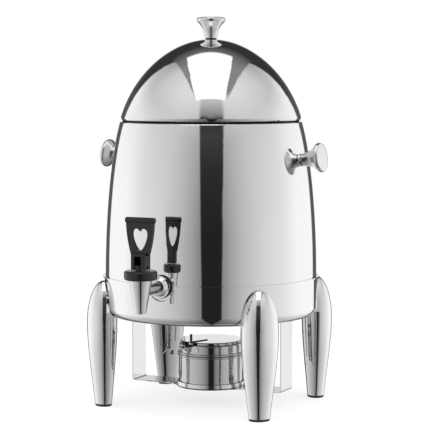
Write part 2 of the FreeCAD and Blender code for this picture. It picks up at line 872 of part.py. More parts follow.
def make_collar_rivet():
    """Round-headed rivet through the collar's front."""
    z = collar_bead_top + collar_rivet_rise
    head_reach = collar_radius + collar_rivet_head_height
    inner_reach = collar_radius - cup_wall - collar_rivet_head_height
    head = rod(collar_rivet_head_radius, outward(0, inner_reach, z), outward(0, head_reach, z))
    rims = [e for e in head.Edges if near(e.CenterOfMass.y, -head_reach)]
    head = head.makeFillet(collar_rivet_head_height / 2.0, rims)
    level = collar_bead_top + collar_wall_height
    wall = rod(collar_radius, at(0, 0), at(0, level))
    shank = rod(collar_rivet_radius, outward(0, inner_reach, z), outward(0, head_reach, z))
    return joined(head.cut(wall), shank)


def make_snuffer_cover():
    """Cover disc with a strap that steps down to the pivot, and a finger tab."""
    half = strap_half_width
    top = cover_top + strap_thickness
    step_out = pivot_radius - strap_step_reach
    step_in = step_out - strap_thickness
    disc = rod(cover_radius, at(0, cover_low), at(0, cover_top))
    upper = block(strap_start, step_out, -half, half, cover_top, top)
    step = block(step_in, step_out, -half, half, strap_low, top)
    lower = block(step_in, pivot_radius, -half, half, strap_low, strap_low + strap_thickness)
    tip = rod(half, at(pivot_radius, strap_low), at(pivot_radius, strap_low + strap_thickness))
    tab = block(finger_tab_radius, finger_tab_radius + strap_thickness, -finger_tab_half_width,
                finger_tab_half_width, cover_top, top + finger_tab_height)
    cover = joined(disc, upper, step, lower, tip, tab)
    cover = cover.cut(rod(pivot_pin_radius + fit_gap, at(pivot_radius, 0),
                          at(pivot_radius, top)))
    return spun(cover, cover_azimuth)


def make_snuffer_pin():
    """Rivet through the ear and the strap, with a head above and below."""
    pin = outward(cover_azimuth, pivot_radius)
    low = pin + Z * (ear_top - ear_thickness)
    high = pin + Z * (strap_low + strap_thickness + fit_gap)
    return joined(rod(pivot_pin_radius, low, high),
                  rod(pivot_head_radius, high, high + Z * pivot_head_height),
                  rod(pivot_head_radius, low - Z * pivot_head_height, low))


# Tap
def to_spout(shape):
    """Move a piece turned about Z onto the spout's upright axis."""
    shape.translate(outward(0, tap_reach))
    return shape


def shank_rod(radius, near_end, far_end):
    """Bar on the shank's axis, between two distances from the urn's axis."""
    return rod(radius, outward(0, near_end, tap_height), outward(0, far_end, tap_height))


def shank_cone(near_radius, far_radius, near_end, far_end):
    """Cone on the shank's axis, between two distances from the urn's axis."""
    return Part.makeCone(near_radius, far_radius, far_end - near_end,
                         outward(0, near_end, tap_height), outward(0, 1.0))


def cross_rod(radius, half, y, z):
    """Bar along X, centred on the tap."""
    return rod(radius, Vector(-half, y, z), Vector(half, y, z))


def make_tap_body():
    tip = tap_height - spout_drop
    outside = turned(path(at(0, tip),
                          at(spout_tip_radius, tip),
                          at(chamber_radius, chamber_top_height),
                          at(chamber_neck_radius, chamber_top_height),
                          at(chamber_neck_radius, chamber_neck_top),
                          at(0, chamber_neck_top),
                          at(0, tip)))
    low = tip - cut_margin
    high = chamber_neck_top + cut_margin
    inside = turned(path(at(0, low),
                         at(spout_bore_radius, low),
                         at(spout_bore_radius, seat_height),
                         at(chamber_bore_radius, seat_height + seat_slope_height),
                         at(chamber_bore_radius, high),
                         at(0, high),
                         at(0, low)))
    body = joined(shank_rod(shank_radius, shank_end, tap_reach),
                  shank_rod(flange_radius, washer_face, flange_face),
                  shank_cone(hub_radius, hub_nose_radius, flange_face, flange_face + hub_length),
                  to_spout(outside))
    body = body.cut(to_spout(inside))
    return body.cut(shank_rod(shank_bore_radius, shank_end - cut_margin, tap_reach))


def make_gaskets():
    """Black washer outside the wall and gasket inside it, both cut to its curve."""
    hole = shank_radius + fit_gap
    outer = shank_rod(wall_washer_radius, body_foot_radius / 2.0, washer_face)
    outer = outer.cut(vessel_filled()).cut(shank_rod(hole, 0, tap_reach))
    inner = shank_rod(inner_gasket_radius, gasket_face, body_foot_radius)
    inner = inner.common(vessel_filled(body_wall + fit_gap)).cut(shank_rod(hole, 0, tap_reach))
    return outer, inner


def make_lock_nut():
    corner = lock_nut_across_flats / math.sqrt(3.0)
    points = []
    for step in range(7):
        a = math.radians(60.0 * step)
        points.append(Vector(corner * math.cos(a), -gasket_face, tap_height + corner * math.sin(a)))
    nut = Part.Face(Part.makePolygon(points)).extrude(Vector(0, lock_nut_thickness, 0))
    return nut.cut(shank_rod(shank_radius + fit_gap, 0, tap_reach))


def lever_pivot_y():
    return -tap_reach - lever_pin_offset


def make_bonnet():
    """Black ring nut over the chamber's neck, with the lug that carries the lever."""
    low = bonnet_bottom_height
    high = bonnet_top_height
    r = bonnet_radius
    b = bonnet_round
    cavity = chamber_neck_radius + fit_gap
    hole = stem_radius + fit_gap
    edges = path(at(cavity, low), at(r - b, low))
    edges.append(quarter(at(r - b, low), at(r, low + b), at(r - b, low + b)))
    edges += path(at(r, low + b), at(r, high - b))
    edges.append(quarter(at(r, high - b), at(r - b, high), at(r - b, high - b)))
    edges += path(at(r - b, high), at(hole, high), at(hole, bonnet_cavity_top),
                  at(cavity, bonnet_cavity_top), at(cavity, low))
    bonnet = to_spout(turned(edges))
    y = lever_pivot_y()
    lug = block(-lug_half_width, lug_half_width, y - lug_half_depth,
                y + lug_half_depth - lug_trim, high - lug_trim, lever_pin_height)
    bonnet = joined(bonnet, lug, cross_rod(lug_half_depth, lug_half_width, y, lever_pin_height))
    bonnet = bonnet.cut(rod(hole, Vector(0, -tap_reach, bonnet_cavity_top - cut_margin),
                            Vector(0, -tap_reach, neck_top_height)))
    return bonnet.cut(cross_rod(lever_pin_radius + fit_gap, bonnet_radius, y, lever_pin_height))


def paddle_face():
    """The paddle's front outline, in the XZ plane."""
    foot = neck_top_height - paddle_root
    top = paddle_top_height
    sides = []
    for side in (-1, 1):
        sides.append(bezier(
            at(side * paddle_foot_half_width, foot),
            at(side * (paddle_foot_half_width + paddle_foot_flare), foot + paddle_foot_reach),
            at(side * (paddle_top_half_width - paddle_top_flare), top - paddle_top_reach),
            at(side * paddle_top_half_width, top)))
    ends = [line(at(-paddle_top_half_width, top), at(paddle_top_half_width, top)),
            line(at(-paddle_foot_half_width, foot), at(paddle_foot_half_width, foot))]
    return filled(sides + ends)


def heart_face():
    """The heart-shaped window, in the XZ plane."""
    tip = neck_top_height + heart_tip_rise
    notch = neck_top_height + heart_notch_rise
    lobe = notch + heart_lobe_lift
    widest = notch - heart_widest_drop
    edges = []
    for side in (-1, 1):
        w = side * heart_half_width
        edges.append(bezier(at(0, notch), at(side * heart_notch_spread, lobe), at(w, lobe),
                            at(w, widest)))
        edges.append(bezier(at(w, widest), at(w, widest - heart_side_reach),
                            at(side * heart_tip_spread, tip), at(0, tip)))
    return filled(edges)


def make_lever():
    """Paddle, roll along its top, and hollow neck that hides the pins."""
    y = -tap_reach
    half = paddle_thickness / 2.0
    paddle = paddle_face().extrude(Vector(0, paddle_thickness, 0))
    paddle.translate(Vector(0, y - half, 0))
    window = heart_face().extrude(Vector(0, neck_half_depth * 2.0, 0))
    window.translate(Vector(0, y - neck_half_depth, 0))
    roll_z = paddle_top_height + roll_radius - roll_overlap
    roll = cross_rod(roll_radius, roll_length / 2.0, y, roll_z)
    roll = roll.makeFillet(roll_round, [e for e in roll.Edges if len(e.Vertexes) == 1])
    neck = block(-neck_half_width, neck_half_width, y - neck_half_depth, y + neck_half_depth,
                 neck_bottom_height, neck_top_height)
    middle = (neck_bottom_height + neck_top_height) / 2.0
    neck = rounded(neck, neck_edge_round, lambda p: near(p.z, middle))
    roof = neck_top_height - neck_roof
    low = neck_bottom_height - cut_margin
    cavity = block(-neck_half_width + neck_wall, neck_half_width - neck_wall,
                   y - neck_half_depth + neck_wall, y + neck_half_depth - neck_wall, low, roof)
    slot = block(-neck_slot_half_width, neck_slot_half_width, y - neck_half_depth * 2.0,
                 y + neck_half_depth - neck_wall, low, roof)
    lever = joined(paddle, roll, neck).cut(cavity).cut(slot).cut(window)
    lever = lever.cut(cross_rod(lever_pin_radius + fit_gap, bonnet_radius, lever_pivot_y(),
                                lever_pin_height))
    slip = stem_pin_radius + stem_pin_slot_gap
    travel = lever_pin_offset * (1.0 - math.cos(math.radians(lever_swing)))
    reach = bonnet_radius
    lever = lever.cut(cross_rod(slip, reach, y - travel, lever_pin_height))
    lever = lever.cut(cross_rod(slip, reach, y + travel, lever_pin_height))
    return lever.cut(block(-reach, reach, y - travel, y + travel, lever_pin_height - slip,
                           lever_pin_height + slip))


def make_stem():
    """Stem with the hole for its cross pin, and the soft plug that closes the seat."""
    y = -tap_reach
    seat = seat_height + seat_slope_height + flat_gap
    top = seat + plug_height
    grip = top - plug_grip_depth
    hole = stem_radius + fit_gap
    stem = rod(stem_radius, Vector(0, y, grip), Vector(0, y, lever_pin_height + stem_head_rise))
    stem = stem.cut(cross_rod(stem_pin_radius + fit_gap, bonnet_radius, y, lever_pin_height))
    slope = seat_slope_height / (chamber_bore_radius - spout_bore_radius)
    nose = seat - slope * (plug_radius - spout_bore_radius)
    plug = turned(path(at(0, nose),
                       at(spout_bore_radius, nose),
                       at(plug_radius, seat),
                       at(plug_radius, top),
                       at(hole, top),
                       at(hole, grip - fit_gap),
                       at(0, grip - fit_gap),
                       at(0, nose)))
    return stem, to_spout(plug), top


def make_spring(plug_top):
    """Coil spring between the plug and the bonnet's ceiling."""
    low = plug_top + spring_end_gap + spring_wire_radius
    high = bonnet_cavity_top - spring_end_gap - spring_wire_radius
    helix = Part.makeHelix((high - low) / spring_turns, high - low, spring_coil_radius)
    ring = Part.Circle(Vector(spring_coil_radius, 0, 0), Vector(0, 1, 0), spring_wire_radius)
    spring = Part.Wire(helix.Edges).makePipeShell([Part.Wire(ring.toShape())], True, True)
    spring.translate(Vector(0, 0, low))
    return to_spout(spring)


# Assembly
keep("urn_body", make_urn_body())
keep("base_ring", make_base_ring())
keep("lid_dome", make_lid_dome())

crown_bend = 1.5 * lid_crown_reach ** 2 / (lid_dome_height - lid_rim_reach)
knob, washer, screw = knob_set(at(0, lid_top_height), Z, lid_wall, crown_bend, lid_filled())
keep("lid_knob", knob)
keep("lid_knob_washer", washer)
keep("lid_knob_screw", screw)

for side, azimuth in HANDLE_AZIMUTHS:
    seat, direction = handle_seat(azimuth)
    knob, washer, screw = knob_set(seat + direction * handle_pad_height, direction,
                                   body_wall + handle_pad_height, body_shoulder_radius,
                                   joined(vessel_filled(), handle_pad(azimuth)))
    keep("handle_knob_" + side, knob)
    keep("handle_washer_" + side, washer)
    keep("handle_screw_" + side, screw)

leg_outer = make_leg_outer()
leg_inner = make_leg_inner()
foot_cap = make_foot_cap()
cover_screws, ring_screw = make_leg_screws()
all_cover_screws = []
all_ring_screws = []
for name, azimuth in zip(LEG_NAMES, LEG_AZIMUTHS):
    keep("leg_outer_" + name, spun(leg_outer, azimuth))
    keep("leg_inner_" + name, spun(leg_inner, azimuth))
    keep("foot_cap_" + name, spun(foot_cap, azimuth))
    all_cover_screws += [spun(screw, azimuth) for screw in cover_screws]
    all_ring_screws.append(spun(ring_screw, azimuth))
keep("leg_cover_screws", *all_cover_screws)
keep("leg_ring_screws", *all_ring_screws)

keep("burner_bracket", make_bracket())
keep("bracket_rivets", *make_rivets())
keep("fuel_cup", make_fuel_cup())
keep("cup_collar", make_cup_collar())
keep("collar_rivet", make_collar_rivet())
keep("snuffer_cover", make_snuffer_cover())
keep("snuffer_pin", make_snuffer_pin())

wall_washer, inner_gasket = make_gaskets()
stem, plug, plug_top = make_stem()
keep("tap_body", make_tap_body())
keep("tap_wall_washer", wall_washer)
keep("tap_inner_gasket", inner_gasket)
keep("tap_lock_nut", make_lock_nut())
keep("tap_bonnet", make_bonnet())
keep("tap_lever", make_lever())
keep("tap_lever_pin", cross_rod(lever_pin_radius, neck_half_width - lever_pin_inset,
                                lever_pivot_y(), lever_pin_height))
keep("tap_stem", stem)
keep("tap_stem_pin", cross_rod(stem_pin_radius, stem_pin_length / 2.0, -tap_reach,
                               lever_pin_height))
keep("tap_seat_plug", plug)
keep("tap_spring", make_spring(plug_top))

os.makedirs("parts", exist_ok=True)
for name, shape in nodes.items():
    shape.exportStep("parts/" + name + ".step")
    box = shape.BoundBox
    print("%-24s solids %d valid %s volume %10.1f  z %.1f to %.1f" % (
        name, len(shape.Solids), shape.isValid(), shape.Volume, box.ZMin, box.ZMax))
print("axis shift %.3f, total height %.2f" % (axis_shift, nodes["lid_knob"].BoundBox.ZMax))
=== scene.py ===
"""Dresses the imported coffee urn: finishes for its pieces, small fasteners and a plain studio."""
import json
import math

import bmesh
import bpy
from bpy.props import FloatProperty, FloatVectorProperty, PointerProperty
from mathutils import Matrix, Vector


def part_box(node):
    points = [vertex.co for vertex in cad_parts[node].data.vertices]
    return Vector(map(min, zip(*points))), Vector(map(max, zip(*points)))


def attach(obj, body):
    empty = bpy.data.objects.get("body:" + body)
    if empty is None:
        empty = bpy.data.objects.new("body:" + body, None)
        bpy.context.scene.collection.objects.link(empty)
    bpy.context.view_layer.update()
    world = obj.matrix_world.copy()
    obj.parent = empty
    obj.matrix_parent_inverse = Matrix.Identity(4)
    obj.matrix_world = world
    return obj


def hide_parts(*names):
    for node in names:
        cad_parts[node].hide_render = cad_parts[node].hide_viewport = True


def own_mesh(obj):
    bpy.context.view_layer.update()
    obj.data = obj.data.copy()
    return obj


bl_info = {
    "name": "Coffee Urn",
    "version": (1, 0, 0),
    "blender": (4, 5, 0),
    "location": "View3D > Sidebar > Coffee Urn",
    "description": "Finishes, fasteners and studio for a polished coffee urn",
    "category": "Object",
}

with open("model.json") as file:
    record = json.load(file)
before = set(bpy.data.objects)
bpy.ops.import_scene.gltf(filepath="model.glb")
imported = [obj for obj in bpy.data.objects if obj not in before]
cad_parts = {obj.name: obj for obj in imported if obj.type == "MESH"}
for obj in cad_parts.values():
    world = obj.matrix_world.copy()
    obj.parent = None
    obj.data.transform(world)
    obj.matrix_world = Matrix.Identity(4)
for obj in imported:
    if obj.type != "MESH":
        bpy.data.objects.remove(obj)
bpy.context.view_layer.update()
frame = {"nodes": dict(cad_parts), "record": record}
NODES = frame["nodes"]
RING_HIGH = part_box("base_ring")[1]
AXIS_Y = RING_HIGH.y - RING_HIGH.x
LEG_WAVE = 0.00003
LEG_NAMES = ("front_left", "front_right", "rear_right", "rear_left")


# Brightness round the studio at four heights: stops of (turn from the camera, brightness)
SCREENS = (
    (0.0, ((0.0, 0.25), (0.067, 0.26), (0.11, 0.38), (0.19, 0.55), (0.31, 0.71), (0.47, 0.85),
           (0.60, 1.04), (1.0, 1.04))),
    (0.37, ((0.0, 0.36), (0.17, 0.54), (0.26, 0.63), (0.35, 0.67), (0.46, 0.73), (0.58, 0.85),
            (0.73, 0.95), (1.0, 0.95))),
    (0.57, ((0.0, 0.60), (0.18, 0.67), (0.28, 0.69), (0.39, 0.67), (0.50, 0.64), (0.62, 0.61),
            (0.77, 0.58), (1.0, 0.5))),
    (0.80, ((0.0, 0.80), (0.27, 0.79), (0.39, 0.76), (0.50, 0.69), (0.56, 0.66), (0.66, 0.51),
            (0.72, 0.40), (1.0, 0.3))),
)
# Slopes below are sideways or forward reach over height. Pairs are the start and end of a soft
# edge.
HORIZON = (0.03, 0.06)
REAR_TURN = (0.80, 0.825)
BEHIND_TURN = (0.92, 0.96)
BEHIND_BRIGHTNESS = 0.9
GAP_HALF_SLOPE = 0.505
GAP_TAPER = 0.16
GAP_SHIFT = 0.02
GAP_FRONT = (0.5, 0.78)
SLOT_HALF_WIDTH = 0.203
SLOT_WIDENING = 0.14
SLOT_SHIFT = 0.012
BOX_HALF_SLOPE = 0.355
BOX_SHIFT = 0.02
BOX_REAR = (-0.50, -0.38)
BOX_FRONT = (0.76, 0.80)
BOX_BRIGHTNESS = 1.3
FLOOR_GLOW = 0.78
# Brightness of the dark slot from the horizon up
SLOT = ((0.0, 0.016), (0.19, 0.027), (0.39, 0.052), (0.545, 0.03), (0.575, 0.24), (0.625, 0.32),
        (0.707, 0.46), (0.77, 0.58))


# Sizes and colours that a user would change

class UrnFinishes(bpy.types.PropertyGroup):
    """Colours and polish of the urn's materials"""
    mirror: FloatVectorProperty(
        name="Mirror steel", description="Tint of the polished vessel, lid and ring",
        subtype="COLOR", min=0.0, max=1.0, default=(0.885, 0.888, 0.893))
    # Painted shade: a darker copy of the mirror steel for the legs' inner halves, which face the
    # vessel and stand in its shade.
    inner_leg_painted_shade: FloatVectorProperty(
        name="Inner legs painted shade", description="Tint of the legs' inner halves",
        subtype="COLOR", min=0.0, max=1.0, default=(0.56, 0.56, 0.565))
    satin: FloatVectorProperty(
        name="Satin steel", description="Tint of the turned knobs",
        subtype="COLOR", min=0.0, max=1.0, default=(0.80, 0.80, 0.805))
    plain: FloatVectorProperty(
        name="Plain steel", description="Tint of screws, rivets and the bracket",
        subtype="COLOR", min=0.0, max=1.0, default=(0.80, 0.80, 0.81))
    burner: FloatVectorProperty(
        name="Burner steel", description="Tint of the fuel cup and its collar",
        subtype="COLOR", min=0.0, max=1.0, default=(0.60, 0.60, 0.605))
    chrome: FloatVectorProperty(
        name="Chrome plate", description="Tint of the tap's plated body",
        subtype="COLOR", min=0.0, max=1.0, default=(0.84, 0.845, 0.855))
    plastic: FloatVectorProperty(
        name="Black plastic", description="Colour of the tap's lever and bonnet",
        subtype="COLOR", min=0.0, max=1.0, default=(0.009, 0.009, 0.010))
    rubber: FloatVectorProperty(
        name="Black rubber", description="Colour of the foot caps and washers",
        subtype="COLOR", min=0.0, max=1.0, default=(0.018, 0.018, 0.018))
    silicone: FloatVectorProperty(
        name="Milky silicone", description="Colour of the tap's seat plug",
        subtype="COLOR", min=0.0, max=1.0, default=(0.72, 0.71, 0.67))
    mirror_roughness: FloatProperty(
        name="Mirror roughness", description="Blur of the mirror-polished steel",
        subtype="FACTOR", min=0.0, max=1.0, default=0.035)


class UrnFasteners(bpy.types.PropertyGroup):
    """Sizes of the screws and rivets"""
    dome_share: FloatProperty(
        name="Dome share", description="Rounded share of a head's height",
        subtype="FACTOR", min=0.05, max=0.95, default=0.6)
    recess_width: FloatProperty(
        name="Recess width", description="Width of each arm of a screw's cross recess",
        subtype="DISTANCE", unit="LENGTH", default=0.0008)
    recess_reach: FloatProperty(
        name="Recess reach", description="Length of an arm as a share of the head's width",
        subtype="FACTOR", min=0.1, max=0.9, default=0.62)
    spring_wire: FloatProperty(
        name="Spring wire", description="Radius of the tap spring's wire",
        subtype="DISTANCE", unit="LENGTH", default=0.0006)
    spring_turns: FloatProperty(
        name="Spring turns", description="Turns of the tap's spring", min=1.0, default=6.0)
    recess_depth: FloatProperty(
        name="Recess depth", description="Depth of the cross recess below the head's top",
        subtype="DISTANCE", unit="LENGTH", default=0.0013)


class UrnStudio(bpy.types.PropertyGroup):
    """Camera and light"""
    camera_azimuth: FloatProperty(
        name="Camera azimuth", description="Turn of the camera from the tap's side",
        subtype="ANGLE", unit="ROTATION", default=math.radians(26.5))
    camera_distance: FloatProperty(
        name="Camera distance", description="Level distance from the urn's axis",
        subtype="DISTANCE", unit="LENGTH", default=2.237)
    camera_height: FloatProperty(
        name="Camera height", description="Height of the lens above the floor",
        subtype="DISTANCE", unit="LENGTH", default=0.4376)
    aim_height: FloatProperty(
        name="Aim height", description="Height on the urn's axis that the camera looks at",
        subtype="DISTANCE", unit="LENGTH", default=0.2562)
    lens: FloatProperty(
        name="Lens", description="Focal length in millimetres on a 36 mm wide sensor",
        default=137.75)
    side_shift: FloatProperty(
        name="Side shift", description="Lens shift to the side, as a share of the picture",
        default=0.0093)
    floor_radius: FloatProperty(
        name="Floor radius", description="Radius at which the floor has faded out",
        subtype="DISTANCE", unit="LENGTH", default=0.78)


# Shader maths

class Value:
    """A shader socket that takes part in plain arithmetic."""

    def __init__(self, net, socket):
        self.net = net
        self.socket = socket

    def maths(self, operation, *others):
        return self.net.add("ShaderNodeMath", {"operation": operation}, (self, *others))

    def __add__(self, other):
        return self.maths("ADD", other)

    __radd__ = __add__

    def __sub__(self, other):
        return self.maths("SUBTRACT", other)

    def __rsub__(self, other):
        return self.net.add("ShaderNodeMath", {"operation": "SUBTRACT"}, (other, self))

    def __mul__(self, other):
        return self.maths("MULTIPLY", other)

    __rmul__ = __mul__

    def __truediv__(self, other):
        return self.maths("DIVIDE", other)

    def __rtruediv__(self, other):
        return self.net.add("ShaderNodeMath", {"operation": "DIVIDE"}, (other, self))

    def step(self, low, high):
        """0 below low and 1 above high, with a smooth rise between."""
        return self.net.add("ShaderNodeMapRange", {"interpolation_type": "SMOOTHSTEP"},
                            {"Value": self, "From Min": low, "From Max": high})

    def slide(self, low, high):
        """0 at low and 1 at high, with a straight rise between."""
        return self.net.add("ShaderNodeMapRange", None,
                            {"Value": self, "From Min": low, "From Max": high})

    def mix(self, start, end):
        """start where this value is 0, end where it is 1."""
        return start + (end - start) * self if isinstance(end, Value) \
            else self * (end - start) + start

    def ramp(self, *stops):
        """Grey value read from a ramp of (place, brightness) stops."""
        return self.net.add("ShaderNodeValToRGB", {"stops": stops}, (self,))


class Net:
    """The node tree of one material, or of the world."""

    def __init__(self, tree):
        self.tree = tree
        tree.nodes.clear()

    def add(self, kind, settings=None, inputs=(), output=0):
        """New node with its settings first and then the values or links of its sockets."""
        node = self.tree.nodes.new(kind)
        for name, value in (settings or {}).items():
            if name == "stops":
                ramp = node.color_ramp
                for _ in value[2:]:
                    ramp.elements.new(0.5)
                for element, (place, level) in zip(ramp.elements, value):
                    element.position = place
                    element.color = (level, level, level, 1.0)
            else:
                setattr(node, name, value)
        for key, value in (inputs.items() if isinstance(inputs, dict) else enumerate(inputs)):
            if isinstance(value, (Value, list)):
                for part in (value if isinstance(value, list) else [value]):
                    self.tree.links.new(part.socket, node.inputs[key])
            else:
                node.inputs[key].default_value = value
        return Value(self, node.outputs[output]) if node.outputs else None

    def blend(self, share, first, second):
        """Colour between two colours."""
        return self.add("ShaderNodeMix", {"data_type": "RGBA"}, {0: share, 6: first, 7: second}, 2)

    def place(self, scale=(1.0, 1.0, 1.0), centre=(0.0, 0.0, 0.0)):
        """Object coordinates about a centre, scaled along each axis."""
        coordinates = self.add("ShaderNodeTexCoord", output="Object")
        offset = tuple(-c * s for c, s in zip(centre, scale))
        return self.add("ShaderNodeMapping", None,
                        {"Vector": coordinates, "Scale": scale, "Location": offset})

    def noise(self, vector, scale, detail=2.0):
        return self.add("ShaderNodeTexNoise", None,
                        {"Vector": vector, "Scale": scale, "Detail": detail})

    def bump(self, height, distance, strength=1.0):
        return self.add("ShaderNodeBump", None,
                        {"Height": height, "Distance": distance, "Strength": strength})

    def part(self, vector, axis):
        """One coordinate of a vector."""
        return self.add("ShaderNodeSeparateXYZ", None, (vector,), axis)

    def surface(self, **sockets):
        """Principled surface wired to the output, with sockets named in plain words."""
        names = {name.replace("_", " ").title(): value for name, value in sockets.items()}
        shader = self.add("ShaderNodeBsdfPrincipled", None, names)
        self.add("ShaderNodeOutputMaterial", None, (shader,))
        return shader


def new_material(name):
    material = bpy.data.materials.new(name)
    material.use_nodes = True
    return material, Net(material.node_tree)


def shade(value):
    """A colour property as a socket's colour."""
    return (*value, 1.0)


def dress(material, *nodes):
    """Give one material to CAD nodes."""
    for node in nodes:
        slots = NODES[node].data.materials
        slots.clear()
        slots.append(material)


# Materials

def outward_mask(net, centre):
    """1 where the surface faces away from an upright axis, 0 where it faces the axis."""
    spot = net.place((1.0, 1.0, 0.0), centre)
    normal = net.add("ShaderNodeNewGeometry", output="Normal")
    facing = net.add("ShaderNodeVectorMath", {"operation": "DOT_PRODUCT"}, (spot, normal), 1)
    return facing.step(-0.0005, 0.0005)


def polished_steel(name, finishes, colour, centre, wave=0.00006, seam=-1.0):
    """Mirror-polished sheet: slow waves from pressing, hair-fine polishing lines, a brushed
    inside where the wall faces the axis, and painted shade, a near-black band in the colour
    at the height of a seam."""
    material, net = new_material(name)
    outside = outward_mask(net, centre)
    slow = net.noise(net.place((1.0, 1.0, 0.6)), 14.0, 1.0)
    lines = net.noise(net.place((1.0, 1.0, 60.0)), 30.0, 4.0)
    patches = net.noise(net.place(), 9.0, 3.0)
    polish = finishes.mirror_roughness
    roughness = polish + patches * (polish * 0.3) + lines * (polish * 0.25)
    height = slow * wave + lines * 0.0000012
    tint = net.blend(patches * 0.5, shade(colour), shade([c * 0.97 for c in colour]))
    level = net.part(net.add("ShaderNodeTexCoord", output="Object"), 2)
    # Painted shade: the colour turns near black in a thin band at the seam's height.
    seam_painted_shade = 1.0 - (level - seam).maths("ABSOLUTE").step(0.0007, 0.0013)
    net.surface(base_color=net.blend(seam_painted_shade, tint, (0.03, 0.03, 0.03, 1.0)),
                metallic=1.0,
                roughness=outside.mix(0.24, roughness),
                normal=net.bump(height, 1.0))
    return material


def turned_satin(name, finishes, centre, axis):
    """Turned satin steel: rings about the knob's own axis."""
    material, net = new_material(name)
    coordinates = net.add("ShaderNodeTexCoord", output="Object")
    offset = net.add("ShaderNodeVectorMath", {"operation": "SUBTRACT"}, (coordinates, centre))
    along = net.add("ShaderNodeVectorMath", {"operation": "DOT_PRODUCT"}, (offset, axis), 1)
    reach = net.add("ShaderNodeVectorMath", {"operation": "LENGTH"}, (offset,), 1)
    rings = net.add("ShaderNodeTexNoise", {"noise_dimensions": "1D"},
                    {"W": along + reach, "Scale": 1500.0, "Detail": 2.0})
    wear = net.noise(coordinates, 45.0, 2.0)
    net.surface(base_color=net.blend(wear * 0.6, shade(finishes.satin),
                                     shade([c * 0.93 for c in finishes.satin])),
                metallic=1.0,
                roughness=0.14 + rings * 0.06 + wear * 0.03,
                normal=net.bump(rings, 0.000012, 0.5))
    return material


def sheet_steel(name, tint, roughness, grain=(1.0, 1.0, 1.0), depth=0.000004, dark=None):
    """Rolled or pressed sheet with a faint grain along one direction. dark gives the share of
    painted shade on the surface, where the colour turns near black."""
    material, net = new_material(name)
    grains = net.noise(net.place(grain), 40.0, 4.0)
    stains = net.noise(net.place(), 25.0, 3.0)
    colour = net.blend(stains * 0.6, shade(tint), shade([c * 0.94 for c in tint]))
    # Painted shade: the colour turns near black where dark says so.
    if dark:
        colour = net.blend(dark(net), colour, (0.05, 0.05, 0.052, 1.0))
    net.surface(base_color=colour,
                metallic=1.0,
                roughness=roughness + grains * roughness * 0.5,
                normal=net.bump(grains, depth))
    return material


def painted_shade_unless_up(net):
    """Painted shade on whatever doesn't face up."""
    normal = net.add("ShaderNodeNewGeometry", output="Normal")
    return 1.0 - net.part(normal, 2).step(0.35, 0.8)


def painted_shade_at_foot(node, height, reach):
    """Painted shade on the lowest part of a node, within reach of the axis."""
    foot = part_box(node)[0].z

    def dark(net):
        spot = net.place((1.0, 1.0, 0.0), (0.0, AXIS_Y, 0.0))
        away = net.add("ShaderNodeVectorMath", {"operation": "LENGTH"}, (spot,), 1)
        level = net.part(net.add("ShaderNodeTexCoord", output="Object"), 2)
        low = 1.0 - level.step(foot + height * 0.8, foot + height * 1.2)
        return low * (1.0 - away.step(reach * 0.98, reach))
    return dark


def moulded_plastic(name, tint):
    """Black moulded plastic with a fine grain and a soft sheen."""
    material, net = new_material(name)
    grain = net.noise(net.place(), 2600.0, 2.0)
    cloud = net.noise(net.place(), 70.0, 2.0)
    net.surface(base_color=net.blend(cloud, shade(tint), shade([c * 1.5 for c in tint])),
                roughness=0.20 + cloud * 0.06 + grain * 0.04,
                normal=net.bump(grain, 0.00001, 0.4))
    return material


def matt_rubber(name, tint, roughness=0.72):
    material, net = new_material(name)
    grain = net.noise(net.place(), 1500.0, 3.0)
    cloud = net.noise(net.place(), 50.0, 3.0)
    net.surface(base_color=net.blend(cloud, shade(tint), shade([c * 1.8 for c in tint])),
                roughness=roughness + grain * 0.1,
                normal=net.bump(grain, 0.00004, 0.6))
    return material


# Screws and rivets

# Head radius, head height and shank radius. The screws' are those of the solids, and the rivets'
# head height is that of their tails.
COVER_SCREW = (0.0032, 0.0024, 0.0018)
RING_SCREW = (0.0040, 0.0025, 0.0024)
RIVET = (0.0038, 0.0010, 0.0020)
RIVET_DOME = 0.0009
RIVET_TAIL_SHARE = 0.79
RIM_DEPTH = 0.0001
WHOLE = Vector((1.0, 1.0, 1.0))

SIZES = ("Head radius", "Head height", "Dome height", "Shank radius", "Shank length",
         "Recess width", "Recess length", "Recess depth")


def new_tree(name, sizes):
    """Tree of geometry nodes with a geometry, the named sizes and a material as inputs."""
    tree = bpy.data.node_groups.new(name, "GeometryNodeTree")
    inputs = [("Geometry", "NodeSocketGeometry")]
    inputs += [(size, "NodeSocketFloat") for size in sizes]
    inputs += [("Material", "NodeSocketMaterial")]
    for label, kind in inputs:
        tree.interface.new_socket(label, in_out="INPUT", socket_type=kind)
    tree.interface.new_socket("Geometry", in_out="OUTPUT", socket_type="NodeSocketGeometry")
    net = Net(tree)
    given = tree.nodes.new("NodeGroupInput")
    return net, [Value(net, socket) for socket in given.outputs[:-1]]


def end_tree(net, geometry, finish):
    """Close a tree of geometry nodes with real geometry in one material."""
    geometry = net.add("GeometryNodeRealizeInstances", None, {"Geometry": geometry})
    geometry = net.add("GeometryNodeSetMaterial", None,
                       {"Geometry": geometry, "Material": finish})
    net.add("NodeGroupOutput", None, (geometry,))
    return net.tree


